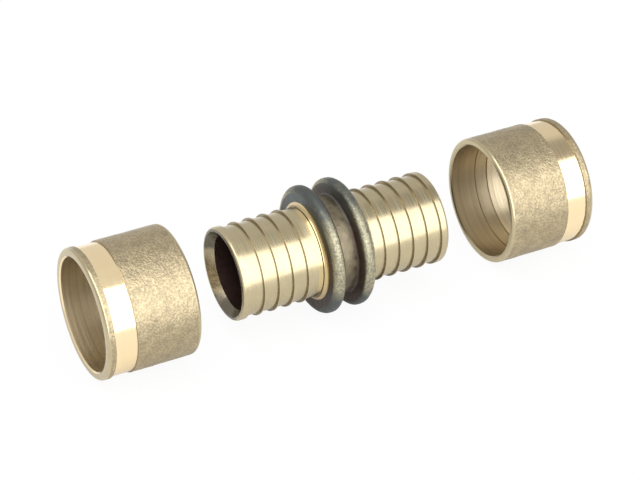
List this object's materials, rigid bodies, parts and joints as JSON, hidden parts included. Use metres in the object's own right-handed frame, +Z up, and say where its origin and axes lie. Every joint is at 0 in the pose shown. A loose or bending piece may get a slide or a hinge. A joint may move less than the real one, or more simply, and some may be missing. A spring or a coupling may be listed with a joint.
{
  "type": "pex press coupling",
  "caption": "Straight brass press coupling for plastic pipe: a flanged body with ringed tails and two loose press sleeves with a polished band, laid out in line.",
  "frame": {"origin": "middle of the coupling body, on the waterway's axis", "axes": "+X along the pipe axis, from the left sleeve to the right one; +Z up"},
  "size_m": [0.118, 0.0288, 0.0288],
  "materials": {
    "turned_brass": "machined tails and waterway, dull as-forged flanges",
    "forged_brass": "rough as-forged skin with a polished turned band near the outer end"
  },
  "bodies": {
    "fitting": {"coupling_body": "turned_brass"},
    "left_sleeve": {"left_press_sleeve": "forged_brass"},
    "right_sleeve": {"right_press_sleeve": "forged_brass"}
  },
  "joints": [
    {"name": "left_sleeve_slide", "type": "slide", "parent": "fitting", "child": "left_sleeve", "axis": [1, 0, 0], "range_m": [0, 0.0312]},
    {"name": "right_sleeve_slide", "type": "slide", "parent": "fitting", "child": "right_sleeve", "axis": [-1, 0, 0], "range_m": [0, 0.0336]}
  ]
}
